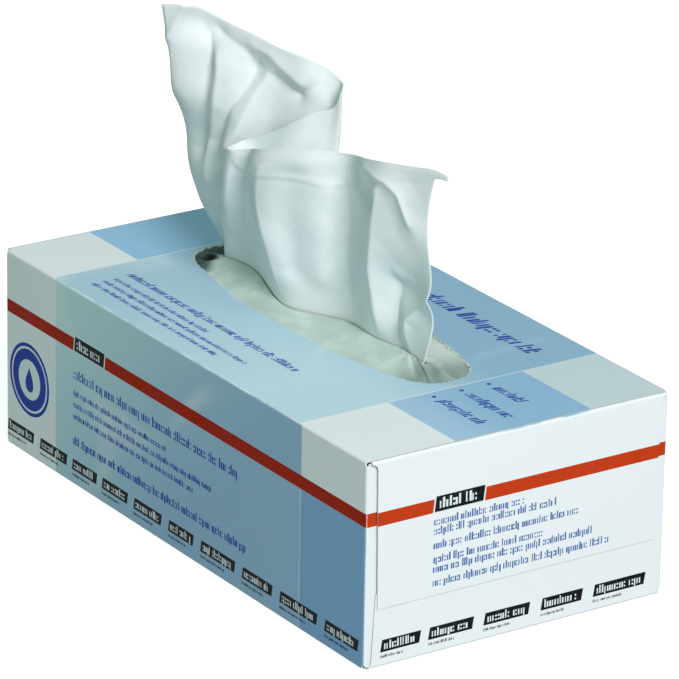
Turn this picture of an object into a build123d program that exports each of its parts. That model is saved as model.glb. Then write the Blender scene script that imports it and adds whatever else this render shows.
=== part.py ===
"""Box of paper hand towels: a flat glued carton, a slit film, the folded stack and the sheet that stands up.

The origin is the middle of the carton's underside, +Z is up, X runs along the carton and -Y is its front.
"""

import os
from dataclasses import dataclass

from build123d import *

# Carton: one paperboard blank, folded into a sleeve and glued shut
carton_length = 230.0
carton_width = 120.0
carton_height = 73.0
board = 0.5
fold_radius = 1.0  # outside of every fold

# End closure: two dust flaps, a short bottom flap over them and a long top flap outermost
hinge_relief = 1.5  # from a corner of the carton to the end of a hinge
top_flap_drop = 52.0
top_flap_notch = 2.2
top_flap_taper = 0.8
bottom_flap_rise = 26.5
bottom_flap_notch = 1.2
bottom_flap_taper = 1.3
dust_flap_reach = 45.0
dust_flap_notch = 1.2
dust_flap_taper = 4.0

# Glued seam, a strip of the blank that lies inside the back panel
seam_width = 15.0
seam_taper = 6.0

# Oval tear-out in the top panel
opening_length = 150.0
opening_width = 42.0
opening_end_radius = 14.0
opening_x = -4.5
opening_y = 3.5

# Film glued under the top panel, with a slit that the sheet pushes open
film = 0.1
film_margin = 14.0
film_corner = 6.0
slit_end_margin = 3.0  # from the opening's end to the slit's end
slit_gap = 14.0
slit_shift_x = -0.5
slit_shift_y = -3.0

# Stack of folded sheets, drawn up into a ridge under the slit
stack_end_clearance = 4.5
stack_side_clearance = 6.5
stack_headroom = 15.0
stack_edge_radius = 8.0
ridge_gap = 6.5  # from the ridge's top to the film
ridge_side_margin = 3.0  # ridge top beyond the slit
ridge_slope = 22.0  # run of the ridge's flanks

# Standing sheet, pleated twice where it comes through the slit
sheet = 0.3
sheet_end_clearance = 9.0  # from the slit's left end to the sheet
slit_free_end = 9.0  # of the slit, to the right of the sheet
sheet_side_clearance = 2.5
collar_rise = 1.0  # straight length above the top panel

belly_share = 0.75  # of the way up the sheet, where it passes its belly line
sheet_bands = 6  # of facets, from the sheet's foot to its free edge

# Stations across the sheet, from its left edge over the back fold and the front fold to its right edge
# Gather in the slit, as shares of half the room that the sheet has there
gather_line = (
    (-1.00, 0.67), (-0.97, 0.56), (-0.92, 0.69), (-0.84, 0.51), (-0.71, 0.64), (-0.57, 0.78), (-0.44, 0.73),
    (-0.40, 0.53), (-0.44, 0.33), (-0.71, 0.16), (-0.90, 0.02), (-0.94, -0.16), (-0.90, -0.38),
    (-0.68, -0.38), (-0.35, -0.70), (-0.06, -0.65), (0.19, 0.40), (0.49, 0.22), (0.79, 0.33), (1.00, -0.33),
)
# Belly and free edge, from the gather's middle and up from the top panel
belly_line = (
    (-76, -8, 52), (-72, -8, 50), (-60, -6, 50), (-52, -4, 47), (-44, 5, 46), (-30, 11, 46), (-18, 17, 46),
    (-14, 15, 45), (-16, 11, 42), (-30, 1, 37), (-44, -9, 34), (-46, -13, 35), (-42, -15, 34),
    (-33, -11, 36), (-18, -16, 41), (1, -11, 44), (11, 2, 42), (34, -1, 45), (46, 1, 47), (56, 4, 45),
)
edge_line = (
    (-74, -18, 93), (-70, -13, 94), (-62, -4, 90), (-56, 2, 87), (-42, 10, 82), (-31, 17, 78), (-22, 22, 74),
    (-18, 19, 71), (-19, 15, 66), (-28, 2, 57), (-35, -9, 49), (-35, -14, 48), (-32, -17, 50),
    (-26, -12, 53), (-11, -16, 59), (2, -8, 61), (11, 2, 60), (33, 0, 65), (47, 3, 67), (60, 6, 70),
)

# Where each layer of the end closure lies, and where the sleeve stops
top_flap_face = carton_length / 2
bottom_flap_face = top_flap_face - board
dust_flap_face = bottom_flap_face - board
sleeve_end = dust_flap_face - fold_radius
hinge_root = sleeve_end - board  # inside the sleeve's wall

# Heights that the pieces share
panel_underside = carton_height - board
stack_top = panel_underside - stack_headroom
ridge_top = panel_underside - film - ridge_gap

# Slit in the film
slit_length = opening_length - 2 * slit_end_margin
slit_x = opening_x + slit_shift_x
slit_y = opening_y + slit_shift_y


@dataclass
class Flap:
    """A flap at the carton's end: the panel it hangs from, its layer and its die-cut outline."""

    panel: Plane  # X along the carton, Y from the panel's outside face inwards
    face: float  # X of the flap's outside face
    hinge: float  # half the length of the hinge
    notch: float  # radius of the cut beside the hinge
    reach: float  # from the panel's outside face to the free edge
    taper: float  # lost at each side by the free edge


side_hinge = carton_height / 2 - hinge_relief
end_hinge = carton_width / 2 - hinge_relief
front_panel = Plane((0, -carton_width / 2, carton_height / 2), x_dir=(1, 0, 0), z_dir=(0, 0, 1))
back_panel = Plane((0, carton_width / 2, carton_height / 2), x_dir=(1, 0, 0), z_dir=(0, 0, -1))
bottom_panel = Plane((0, 0, 0), x_dir=(1, 0, 0), z_dir=(0, -1, 0))
top_panel = Plane((0, 0, carton_height), x_dir=(1, 0, 0), z_dir=(0, 1, 0))
flaps = (
    Flap(front_panel, dust_flap_face, side_hinge, dust_flap_notch, dust_flap_reach, dust_flap_taper),
    Flap(back_panel, dust_flap_face, side_hinge, dust_flap_notch, dust_flap_reach, dust_flap_taper),
    Flap(bottom_panel, bottom_flap_face, end_hinge, bottom_flap_notch, bottom_flap_rise, bottom_flap_taper),
    Flap(top_panel, top_flap_face, end_hinge, top_flap_notch, top_flap_drop, top_flap_taper),
)

os.makedirs("parts", exist_ok=True)

# Carton
with BuildPart() as carton:
    # half of the sleeve
    with BuildSketch(Plane.YZ):
        with Locations((0, carton_height / 2)):
            RectangleRounded(carton_width, carton_height, fold_radius)
            RectangleRounded(
                carton_width - 2 * board, carton_height - 2 * board, fold_radius - board, mode=Mode.SUBTRACT
            )
    extrude(amount=sleeve_end)

    # flaps of one end
    for flap in flaps:
        bend_start = flap.face - fold_radius
        with BuildSketch(flap.panel):
            with BuildLine():
                Line((hinge_root, 0), (bend_start, 0))
                outside = CenterArc((bend_start, fold_radius), fold_radius, -90, 90)
                inside = CenterArc((bend_start, fold_radius), fold_radius - board, 0, -90)
                Line(outside @ 1, inside @ 0)
                Polyline(inside @ 1, (hinge_root, board), (hinge_root, 0))
            make_face()
        extrude(amount=flap.hinge, both=True)

        flat = Plane(
            flap.panel.origin + flap.panel.x_dir * flap.face, x_dir=-flap.panel.z_dir, z_dir=flap.panel.x_dir
        )
        with BuildSketch(flat):
            with BuildLine():
                Line((0, fold_radius), (-flap.hinge, fold_radius))
                notch = CenterArc((-flap.hinge, fold_radius + flap.notch), flap.notch, -90, 90)
                Polyline(notch @ 1, (-flap.hinge + flap.notch + flap.taper, flap.reach), (0, flap.reach))
                mirror(about=Plane.YZ)
            make_face()
        extrude(amount=-board)

    # the other half and end
    mirror(about=Plane.YZ)

    # glued seam
    seam_plane = Plane((0, carton_width / 2 - board, 0), x_dir=(1, 0, 0), z_dir=(0, -1, 0))
    with BuildSketch(seam_plane):
        with BuildLine():
            Polyline(
                (0, board), (sleeve_end, board), (sleeve_end - seam_taper, board + seam_width),
                (0, board + seam_width),
            )
            mirror(about=Plane.YZ)
        make_face()
    extrude(amount=board)

    # tear-out: round ends joined by long side arcs
    end_centre = opening_length / 2 - opening_end_radius
    side_rise = opening_width / 2 - opening_end_radius
    side_radius = opening_end_radius + (end_centre**2 + side_rise**2) / (2 * side_rise)
    end_lean = Vector(end_centre, side_radius - opening_width / 2).normalized()
    end_join = Vector(end_centre, 0) + end_lean * opening_end_radius
    with BuildSketch(Plane((opening_x, opening_y, carton_height))):
        with BuildLine():
            side_join = (-end_join.X, end_join.Y)
            ThreePointArc(side_join, (0, opening_width / 2), (end_join.X, end_join.Y))
            ThreePointArc(
                (end_join.X, end_join.Y), (opening_length / 2, 0), (end_join.X, -end_join.Y)
            )
            ThreePointArc((end_join.X, -end_join.Y), (0, -opening_width / 2), (-end_join.X, -end_join.Y))
            ThreePointArc((-end_join.X, -end_join.Y), (-opening_length / 2, 0), side_join)
        make_face()
    extrude(amount=-board, mode=Mode.SUBTRACT)

carton.part.label = "carton"
export_step(carton.part, "parts/carton.step")

# Film
with BuildPart() as film_insert:
    with BuildSketch(Plane.XY.offset(panel_underside)):
        with Locations((opening_x, opening_y)):
            RectangleRounded(opening_length + 2 * film_margin, opening_width + 2 * film_margin, film_corner)
        with Locations((slit_x, slit_y)):
            SlotOverall(slit_length, slit_gap, mode=Mode.SUBTRACT)
    extrude(amount=-film)

film_insert.part.label = "film_insert"
export_step(film_insert.part, "parts/film_insert.step")

# Stack
stack_length = 2 * (dust_flap_face - board - stack_end_clearance)
stack_width = carton_width - 2 * board - 2 * stack_side_clearance
with BuildPart() as tissue_stack:
    with BuildSketch(Plane.XY.offset(board)):
        Rectangle(stack_length, stack_width)
    extrude(amount=stack_top - board)
    long_edges = tissue_stack.edges().filter_by(Axis.X)
    fillet(long_edges.group_by(Axis.Z)[-1], stack_edge_radius)

    # ridge under the slit
    ridge_length = slit_length + 2 * ridge_side_margin
    ridge_width = slit_gap + 2 * ridge_side_margin
    for level, spread in ((stack_top, ridge_slope), (ridge_top, 0)):
        with BuildSketch(Plane.XY.offset(level)):
            with Locations((slit_x, slit_y)):
                SlotOverall(ridge_length + 2 * spread, ridge_width + 2 * spread)
    loft()

tissue_stack.part.label = "tissue_stack"
export_step(tissue_stack.part, "parts/tissue_stack.step")

# Standing sheet: strips of flat facets that rise from its gather and lean out to its free edge
room_x = (slit_length - sheet_end_clearance - slit_free_end) / 2
room_y = slit_gap / 2 - sheet_side_clearance
sheet_middle = Vector(slit_x + (sheet_end_clearance - slit_free_end) / 2, slit_y, carton_height)
gather = [sheet_middle + Vector(along * room_x, across * room_y) for along, across in gather_line]
foot_drop = Vector(0, 0, ridge_top - carton_height)
collar_lift = Vector(0, 0, collar_rise)
sheet_lines = (
    [point + foot_drop for point in gather],
    [point + collar_lift for point in gather],
    [sheet_middle + Vector(point) for point in belly_line],
    [sheet_middle + Vector(point) for point in edge_line],
)


def softened(line):
    """The line as a spline, taken at its stations and midway between them."""
    runs = [(after - before).length for before, after in zip(line, line[1:])]
    stations = [sum(runs[:count]) / sum(runs) for count in range(len(line))]
    midways = [(before + after) / 2 for before, after in zip(stations, stations[1:])]
    curve = Edge.make_spline(line, parameters=stations)
    return [curve @ share for share in sorted(stations + midways)]


def column(foot, collar, belly, edge):
    """A curve up the sheet: straight out of the gather, then by way of the belly to the free edge."""
    rest = 1 - belly_share
    bent = (foot * rest + collar * 3 * belly_share) * rest**2 + edge * belly_share**3
    pull = (belly - bent) / (3 * rest * belly_share**2)
    return Edge.make_bezier(foot, collar, pull, edge)


def beside(row, shift):
    """The row moved sideways, in plan."""
    moved = []
    for index, point in enumerate(row):
        along = row[min(index + 1, len(row) - 1)] - row[max(index - 1, 0)]
        moved.append(point + Vector(-along.Y, along.X).normalized() * shift)
    return moved


def facets(low, high):
    """Flat facets of the band between two rows."""
    faces = []
    for left, right, right_up, left_up in zip(low, low[1:], high[1:], high):
        faces.append(Face(Wire.make_polygon((left, right, right_up))))
        faces.append(Face(Wire.make_polygon((left, right_up, left_up))))
    return faces


columns = [column(*points) for points in zip(*(softened(line) for line in sheet_lines))]
rows = [[rising @ (band / sheet_bands) for rising in columns] for band in range(sheet_bands + 1)]
front_rows = [beside(row, -sheet / 2) for row in rows]
back_rows = [beside(row, sheet / 2) for row in rows]
sheet_faces = facets(front_rows[0], back_rows[0]) + facets(front_rows[-1], back_rows[-1])
for side_rows in (front_rows, back_rows):
    for low_row, high_row in zip(side_rows, side_rows[1:]):
        sheet_faces += facets(low_row, high_row)
for side in (0, -1):
    sheet_faces += facets([row[side] for row in front_rows], [row[side] for row in back_rows])
with BuildPart() as standing_tissue:
    add(Solid(Shell(sheet_faces)))

standing_tissue.part.label = "standing_tissue"
export_step(standing_tissue.part, "parts/standing_tissue.step")
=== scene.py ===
"""Looks of a box of paper hand towels: printed carton, clear film, folded stack and standing sheet.

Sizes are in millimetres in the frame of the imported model. Its origin is the middle of the carton's
underside, with X along the carton, +Z up and -Y towards the front. They become metres where a mesh is
made. Materials use the object's own coordinates, so their grains and bumps are in metres.
"""

import logging
import math
from dataclasses import dataclass, field
from enum import Enum

import bpy
import numpy as np
from mathutils import Matrix, Vector


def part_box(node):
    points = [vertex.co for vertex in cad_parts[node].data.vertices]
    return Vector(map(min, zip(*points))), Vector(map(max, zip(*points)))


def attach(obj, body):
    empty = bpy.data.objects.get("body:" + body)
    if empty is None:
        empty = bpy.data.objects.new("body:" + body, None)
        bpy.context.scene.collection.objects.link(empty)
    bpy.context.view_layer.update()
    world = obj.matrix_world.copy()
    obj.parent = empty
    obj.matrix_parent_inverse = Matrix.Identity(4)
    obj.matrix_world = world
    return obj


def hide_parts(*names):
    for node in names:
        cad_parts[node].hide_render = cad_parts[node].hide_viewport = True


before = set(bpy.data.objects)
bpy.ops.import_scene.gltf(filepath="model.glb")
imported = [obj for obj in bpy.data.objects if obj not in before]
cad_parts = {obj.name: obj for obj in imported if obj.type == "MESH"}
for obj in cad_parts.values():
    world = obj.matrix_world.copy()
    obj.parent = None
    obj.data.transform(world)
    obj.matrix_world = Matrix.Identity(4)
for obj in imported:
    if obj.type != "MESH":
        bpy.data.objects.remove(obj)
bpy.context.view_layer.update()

LOG = logging.getLogger("hand_towels")
MM = 0.001
BODY = "root"

Array = np.ndarray
Point = tuple[float, float, float]
Pair = tuple[float, float]
Colour = tuple[float, float, float, float]

WHITE: Colour = (1.0, 1.0, 1.0, 1.0)
FINE = 24  # steps of a fine outline for each point that is wanted of it
ROUND = 48  # points of a printed circle
OFF_AXIS = 1e-4  # turns a corner's directions off the axes, where they have no sign
LEAST_NORMAL = 1e-9  # keeps the length of a normal off 0

# the opening and the stack's ridge, which lie round the middle of the film
OPENING_LENGTH = 150.0
OPENING_WIDTH = 42.0
OPENING_END_RADIUS = 14.0
RIDGE_LENGTH = 150.0
RIDGE_WIDTH = 20.0
RIDGE_END_RADIUS = 9.9
SLIT_SHIFT = (-2.8, -3.0)


class Slot(Enum):
    """Material slots of the record."""

    BOARD = "printed_board"
    FILM = "clear_film"
    STACK = "stack_paper"
    SHEET = "sheet_paper"


@dataclass(frozen=True)
class Grain:
    """A noise: its scale per metre, its detail, the range of its values that shows, and its roughness."""

    scale: float
    detail: float
    low: float = 0.0
    high: float = 1.0
    rough: float = 0.5


def colour(red: int, green: int, blue: int) -> Colour:
    """Linear colour of a display colour.

    Formula: ((c + 0.055) / 1.055) ** 2.4 of each share c, and c / 12.92 in the darkest part.

    Args:
        red: Red, from 0 to 255.
        green: Green, from 0 to 255.
        blue: Blue, from 0 to 255.

    Returns:
        The colour with an alpha of 1.
    """
    shares = np.array((red, green, blue)) / 255
    linear = np.where(shares > 0.04045, ((shares + 0.055) / 1.055) ** 2.4, shares / 12.92)
    return (*linear.tolist(), 1.0)


def smooth_step(low: Array | float, high: Array | float, value: Array) -> Array:
    """Rise from 0 at low to 1 at high, by 3 t^2 - 2 t^3.

    Args:
        low: Where the rise starts.
        high: Where it ends.
        value: Where it is asked for.

    Returns:
        The rise at each value.
    """
    share = np.clip((value - low) / (high - low), 0, 1)
    return share * share * (3 - 2 * share)


def run_along(points: Array) -> Array:
    """Returns the length of a line up to each of its points."""
    return np.concatenate(((0,), np.cumsum(np.linalg.norm(np.diff(points, axis=0), axis=1))))


def spline(knots: Array, values: Array, samples: Array) -> Array:
    """Natural cubic spline through values, along their first axis.

    Formula: with h the steps and d the slopes between knots, the second derivatives m solve
    h[i-1] m[i-1] + 2 (h[i-1] + h[i]) m[i] + h[i] m[i+1] = 6 (d[i] - d[i-1]), and are 0 at both ends.
    Each span is the cubic with these second derivatives.

    Args:
        knots: Rising parameters of the values.
        values: Points, of any shape after the first axis.
        samples: Parameters at which the curve is wanted.

    Returns:
        The curve's points at the samples.
    """
    shape = (-1,) + (1,) * (values.ndim - 1)
    step = np.diff(knots)
    slope = np.diff(values, axis=0) / step.reshape(shape)
    count = len(knots)
    inner = np.arange(1, count - 1)
    system = np.eye(count)
    system[inner, inner - 1] = step[:-1]
    system[inner, inner] = 2 * (step[:-1] + step[1:])
    system[inner, inner + 1] = step[1:]
    turn = np.zeros(values.shape)
    turn[1:-1] = 6 * np.diff(slope, axis=0)
    bend = np.linalg.solve(system, turn.reshape(count, -1)).reshape(values.shape)
    span = np.clip(np.searchsorted(knots, samples) - 1, 0, count - 2)
    width = step[span].reshape(shape)
    before = (knots[span + 1] - samples).reshape(shape) / width
    after = 1 - before
    line = before * values[span] + after * values[span + 1]
    return line + ((before**3 - before) * bend[span] + (after**3 - after) * bend[span + 1]) * width**2 / 6


def evenly(points: Array, normals: Array, count: int) -> tuple[Array, Array]:
    """Takes points evenly along a fine closed outline.

    Args:
        points: Points of the outline, the last one on the first.
        normals: Its normals at these points.
        count: Count of points that are wanted.

    Returns:
        Points and unit normals, each of shape (count, 2).
    """
    run = run_along(points)
    even = np.linspace(0, run[-1], count, endpoint=False)
    placed, turned = (
        np.stack([np.interp(even, run, line) for line in values.T], -1) for values in (points, normals)
    )
    return placed, turned / np.linalg.norm(turned, axis=1, keepdims=True)


def rounded_rectangle(half: Array, radius: float, count: int) -> tuple[Array, Array]:
    """Points evenly along a rectangle with round corners.

    Formula: the point whose normal has the angle t is its corner's middle plus the radius times
    (cos t, sin t).

    Args:
        half: Half the length and half the width.
        radius: Radius of the corners.
        count: Count of points.

    Returns:
        Points and outward normals, each of shape (count, 2).
    """
    angle = np.linspace(0, 2 * math.pi, FINE * count) + OFF_AXIS
    direction = np.stack((np.cos(angle), np.sin(angle)), -1)
    return evenly(np.sign(direction) * (half - radius) + radius * direction, direction, count)


def disc(x: float, y: float, radius: float) -> Array:
    """Returns the outline of a disc."""
    turn = np.linspace(0, 2 * math.pi, ROUND, endpoint=False)
    return np.stack((x + radius * np.cos(turn), y + radius * np.sin(turn)), -1)


def grid_faces(rows: int, columns: int, ring: bool = False, tube: bool = False) -> Array:
    """Quads of a grid whose points are stored row by row.

    Formula: the quad at row r and column c joins (r, c), (r, c + 1), (r + 1, c + 1) and (r + 1, c).

    Args:
        rows: Count of rows.
        columns: Count of columns.
        ring: Whether the last column joins the first.
        tube: Whether the last row joins the first.

    Returns:
        Four indices for each quad.
    """
    row = np.arange(rows if tube else rows - 1)[:, None] * columns
    above = (row + columns) % (rows * columns)
    column = np.arange(columns if ring else columns - 1)[None, :]
    beside = (column + 1) % columns
    return np.stack((row + column, row + beside, above + beside, above + column), -1).reshape(-1, 4)


def surface_normals(points: Array) -> Array:
    """Unit normals of a grid of points, across its first two axes.

    Args:
        points: Grid of shape (rows, columns, 3).

    Returns:
        Normals of the same shape: the cross product of the slopes along the columns and along the rows.
    """
    normals = np.cross(np.gradient(points, axis=1), np.gradient(points, axis=0))
    return normals / np.maximum(np.linalg.norm(normals, axis=-1, keepdims=True), LEAST_NORMAL)


def outward(points: Array, faces: Array) -> Array:
    """Turns the quads of a closed skin so that they point outwards.

    Formula: the sum of a . (b x c) over the triangles is six times the volume, and negative if they
    point in.

    Args:
        points: Points of shape (count, 3).
        faces: Quads of shape (count, 4).

    Returns:
        The quads, reversed if they pointed inwards.
    """
    triangles = np.concatenate((faces[:, (0, 1, 2)], faces[:, (0, 2, 3)]))
    first, second, third = (points[triangles[:, corner]] for corner in range(3))
    volume = np.sum(first * np.cross(second, third))
    return faces if volume > 0 else faces[:, ::-1]


def add_piece(
    name: str, points: Array, faces: list, materials: list, slot: Slot, smooth: bool
) -> bpy.types.Object:
    """Makes a piece from millimetre points and lets it ride on the carton's body.

    Args:
        name: Name of the piece.
        points: Points of shape (count, 3).
        faces: Lists of point indices.
        materials: Materials of the piece, the first one on every face.
        slot: Not used.
        smooth: Whether its faces are shaded smooth.

    Returns:
        The new object, at the origin.
    """
    mesh = bpy.data.meshes.new(name)
    mesh.from_pydata((points * MM).tolist(), [], faces)
    mesh.polygons.foreach_set("use_smooth", np.full(len(faces), smooth))
    for material in materials:
        mesh.materials.append(material)
    mesh.update()
    piece = bpy.data.objects.new(name, mesh)
    bpy.context.scene.collection.objects.link(piece)
    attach(piece, BODY)
    LOG.info("%s: %d points, %d faces", name, len(points), len(faces))
    return piece


def thicken(piece: bpy.types.Object, thickness: float) -> None:
    """Gives a sheet its thickness, half to each side.

    Args:
        piece: The sheet.
        thickness: In millimetres.
    """
    solid = piece.modifiers.new("thickness", "SOLIDIFY")
    solid.thickness = thickness * MM
    solid.offset = 0


class Graph:
    """Node tree of a material or of the world, with short calls for the nodes that the finishes share."""

    def __init__(self, owner: bpy.types.ID) -> None:
        """Starts an empty tree.

        Args:
            owner: The material or world that the tree belongs to.
        """
        self.owner = owner
        owner.use_nodes = True
        self.nodes = owner.node_tree.nodes
        self.links = owner.node_tree.links
        self.nodes.clear()

    @classmethod
    def of_material(cls, name: str) -> "Graph":
        """Starts the tree of a new material."""
        return cls(bpy.data.materials.new(name))

    def set(self, socket: bpy.types.NodeSocket, value: object) -> None:
        """Links a socket to another, or sets its value.

        Args:
            socket: Input to set.
            value: Output to link, or plain value.
        """
        if isinstance(value, bpy.types.NodeSocket):
            self.links.new(value, socket)
        else:
            socket.default_value = value

    def node(self, kind: str, inputs: dict, **settings: object) -> bpy.types.Node:
        """Adds a node.

        Args:
            kind: Type of the node, without its common prefix.
            inputs: Values or outputs, by the name or index of the input.
            settings: Properties of the node.

        Returns:
            The new node.
        """
        made = self.nodes.new("ShaderNode" + kind)
        for name, value in settings.items():
            setattr(made, name, value)
        for name, value in inputs.items():
            self.set(made.inputs[name], value)
        return made

    def math(self, operation: str, first: object, second: object = 0.0) -> bpy.types.NodeSocket:
        """Adds a Math node and returns its output."""
        return self.node("Math", {0: first, 1: second}, operation=operation).outputs[0]

    def product(self, *shares: object) -> bpy.types.NodeSocket:
        """Multiplies shares, which are outputs or numbers."""
        total = shares[0]
        for share in shares[1:]:
            total = self.math("MULTIPLY", total, share)
        return total

    def beyond(self, value: object, limit: float) -> bpy.types.NodeSocket:
        """Returns 1 where the size of a value, without its sign, is over a limit and 0 elsewhere."""
        return self.math("GREATER_THAN", self.math("ABSOLUTE", value), limit)

    def band(self, value: object, low: float, high: float) -> bpy.types.NodeSocket:
        """Returns 1 where a value lies between two limits and 0 elsewhere."""
        return self.product(self.math("GREATER_THAN", value, low), self.math("LESS_THAN", value, high))

    def rise(self, value: object, low: float, high: float) -> bpy.types.NodeSocket:
        """Returns a smooth rise from 0 at low to 1 at high."""
        inputs = {"Value": value, "From Min": low, "From Max": high}
        return self.node("MapRange", inputs, interpolation_type="SMOOTHSTEP").outputs["Result"]

    def over(self, below: object, above: object, share: object) -> bpy.types.NodeSocket:
        """Lays one colour over another by a share."""
        return self.node("Mix", {0: share, 6: below, 7: above}, data_type="RGBA").outputs[2]

    def noise(self, place: object, grain: Grain) -> bpy.types.NodeSocket:
        """Adds a noise texture and returns its value."""
        inputs = {"Vector": place, "Scale": grain.scale, "Detail": grain.detail, "Roughness": grain.rough}
        return self.node("TexNoise", inputs).outputs["Fac"]

    def patches(self, place: object, grain: Grain) -> bpy.types.NodeSocket:
        """Returns a noise that rises from 0 to 1 over the range that its grain shows."""
        return self.rise(self.noise(place, grain), grain.low, grain.high)

    def place(self) -> bpy.types.NodeSocket:
        """Returns the object's own coordinates, in metres."""
        return self.node("TexCoord", {}).outputs["Object"]

    def bump(self, height: object, distance: float, strength: float) -> bpy.types.NodeSocket:
        """Adds a bump of a real height in metres and returns its normal."""
        inputs = {"Height": height, "Distance": distance, "Strength": strength}
        return self.node("Bump", inputs).outputs["Normal"]

    def seen(self) -> bpy.types.NodeSocket:
        """Returns 1 on the camera's rays, also by gloss and through clear surfaces, and 0 on others."""
        path = self.node("LightPath", {})
        shown = self.math("MAXIMUM", path.outputs["Is Camera Ray"], path.outputs["Is Glossy Ray"])
        return self.math("MAXIMUM", shown, path.outputs["Is Transmission Ray"])

    def finish(self, shader: bpy.types.NodeSocket) -> bpy.types.Material:
        """Ends the tree with a surface shader and returns the material."""
        self.node("OutputMaterial", {"Surface": shader})
        return self.owner


@dataclass(frozen=True)
class PrintedBoard:
    """Coated paperboard of the carton, with its fields of colour, its stripe and worn folds."""

    length: float
    width: float
    height: float
    white: Colour = colour(236, 242, 244)
    grey: Colour = colour(206, 221, 226)
    top_deep: Colour = colour(150, 188, 213)
    top_pale: Colour = colour(198, 225, 235)
    # painted light: the left column's blue is a lighter copy of mid_blue, to lift the sheet's shadow that
    # falls on it
    left_blue_painted_light: Colour = colour(158, 202, 234)
    mid_blue: Colour = colour(150, 190, 221)
    soft_blue: Colour = colour(172, 204, 230)
    side_pale: Colour = colour(200, 231, 234)
    side_deep: Colour = colour(158, 191, 219)
    side_blue: Colour = colour(138, 178, 215)
    red: Colour = colour(196, 62, 22)
    # painted shade: a darker copy of the stripe's red for the long sides, which face away from the key light
    side_red_painted_shade: Colour = colour(168, 34, 4)
    raw: Colour = colour(196, 196, 184)
    worn: Colour = colour(240, 244, 244)
    left_column: float = 34.0
    right_column: float = 190.0
    side_shift: float = 1.0
    left_field_end: float = 86.0
    right_field_start: float = 31.7
    right_field_fade: float = 58.0
    right_field_end: float = 85.5
    pale_depth: Pair = (36.0, 90.0)
    pale_run: Pair = (50.0, 165.0)
    pale_least: float = 0.55
    stripe_top: float = 18.0
    stripe_bottom: float = 22.8
    border: float = 0.7
    border_share: float = 0.55
    side_border_share: float = 0.4
    facing: float = 0.7
    rub: float = 0.55
    end_rub: float = 1.3
    rub_sides: float = 1.5
    rub_grain: Grain = Grain(160.0, 4.0, 0.35, 0.6)
    rub_share: float = 0.75
    arc_grain: Grain = Grain(11.0, 0.6)
    arc_level: float = 0.5
    arc_line: Pair = (0.004, 0.03)
    arc_clouds: Grain = Grain(24.0, 2.0, 0.35, 0.7)
    arc_share: float = 0.5
    side_arc_share: float = 0.85
    fibre: Grain = Grain(900.0, 3.0, 0.45, 0.8)
    fibre_share: float = 0.012
    gloss: float = 0.34
    gloss_grain: Grain = Grain(60.0, 3.0)
    gloss_spread: float = 0.2
    raw_roughness: float = 0.9
    wave: Grain = Grain(18.0, 1.0)
    wave_share: float = 12.0
    tooth: Grain = Grain(1500.0, 2.0)
    tooth_height: float = 0.00004
    tooth_strength: float = 0.6
    refraction: float = 1.45
    specular: float = 0.03

    def material(self) -> bpy.types.Material:
        """Builds the material on Object coordinates.

        Returns:
            The board's material: a side is told by its normal, and fields are bands of its own coordinates.
        """
        graph = Graph.of_material("printed_board")
        place = graph.place()
        spot = graph.node("VectorMath", {0: place, 1: (1 / MM,) * 3}, operation="MULTIPLY").outputs[0]
        x, y, z = graph.node("SeparateXYZ", {0: spot}).outputs
        normal = graph.node("NewGeometry", {}).outputs["True Normal"]
        nx, ny, nz = graph.node("SeparateXYZ", {0: normal}).outputs
        level = graph.math("SUBTRACT", z, self.height / 2)
        printed = self.printed(graph, place, (x, y, z), (ny, nz))
        printed = graph.over(printed, self.worn, self.rubbed(graph, place, x, y, level))
        sideways = graph.math("ADD", graph.product(nx, x), graph.product(ny, y))
        facing_out = graph.math("ADD", sideways, graph.product(nz, level))
        at_end = graph.beyond(x, self.length / 2 - self.end_rub)
        cut = graph.product(at_end, graph.math("LESS_THAN", graph.math("ABSOLUTE", nx), 1 - self.facing))
        bare = graph.math("MAXIMUM", graph.math("LESS_THAN", facing_out, 0.0), cut)
        shade = graph.over(printed, self.raw, bare)
        threads = graph.product(graph.patches(place, self.fibre), self.fibre_share)
        shade = graph.over(shade, self.worn, threads)
        uneven = graph.product(graph.noise(place, self.gloss_grain), self.gloss_spread)
        dull = graph.product(bare, self.raw_roughness)
        rough = graph.math("MAXIMUM", graph.math("ADD", self.gloss, uneven), dull)
        slow = graph.product(graph.noise(place, self.wave), self.wave_share)
        tooth = graph.math("ADD", graph.noise(place, self.tooth), slow)
        shader = graph.node("BsdfPrincipled", {
            "Base Color": shade, "Roughness": rough, "IOR": self.refraction,
            "Specular IOR Level": self.specular,
            "Normal": graph.bump(tooth, self.tooth_height, self.tooth_strength),
        })
        return graph.finish(shader.outputs[0])

    def printed(self, graph: Graph, place: object, spot: tuple, normal: tuple) -> bpy.types.NodeSocket:
        """Returns the print of all sides, with the stripe that runs round the carton.

        Args:
            graph: The board's node tree.
            place: The object's own coordinates.
            spot: The same in millimetres, apart.
            normal: The normal's parts across the carton and up.

        Returns:
            The printed colour at each place.
        """
        x, y, z = spot
        across, up = normal
        arcs = self.arcs(graph, place)
        along = graph.math("ADD", x, self.length / 2)
        back = graph.math("GREATER_THAN", across, self.facing)
        turned = graph.product(graph.math("SUBTRACT", self.length, along), back)
        reading = graph.math("ADD", graph.product(along, graph.math("SUBTRACT", 1.0, back)), turned)
        drop = graph.math("SUBTRACT", self.height, z)
        from_back = graph.math("SUBTRACT", self.width / 2, y)
        top = graph.math("GREATER_THAN", up, self.facing)
        side = graph.beyond(across, self.facing)
        around = graph.math("LESS_THAN", graph.math("ABSOLUTE", up), self.facing)
        shade = graph.over(self.white, self.side_colour(graph, reading, drop, arcs), side)
        shade = graph.over(shade, self.top_colour(graph, along, from_back, arcs), top)
        stripe = graph.product(graph.band(drop, self.stripe_top, self.stripe_bottom), around)
        # the stripe takes the darker red on the long sides: painted shade
        return graph.over(shade, graph.over(self.red, self.side_red_painted_shade, side), stripe)

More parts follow.
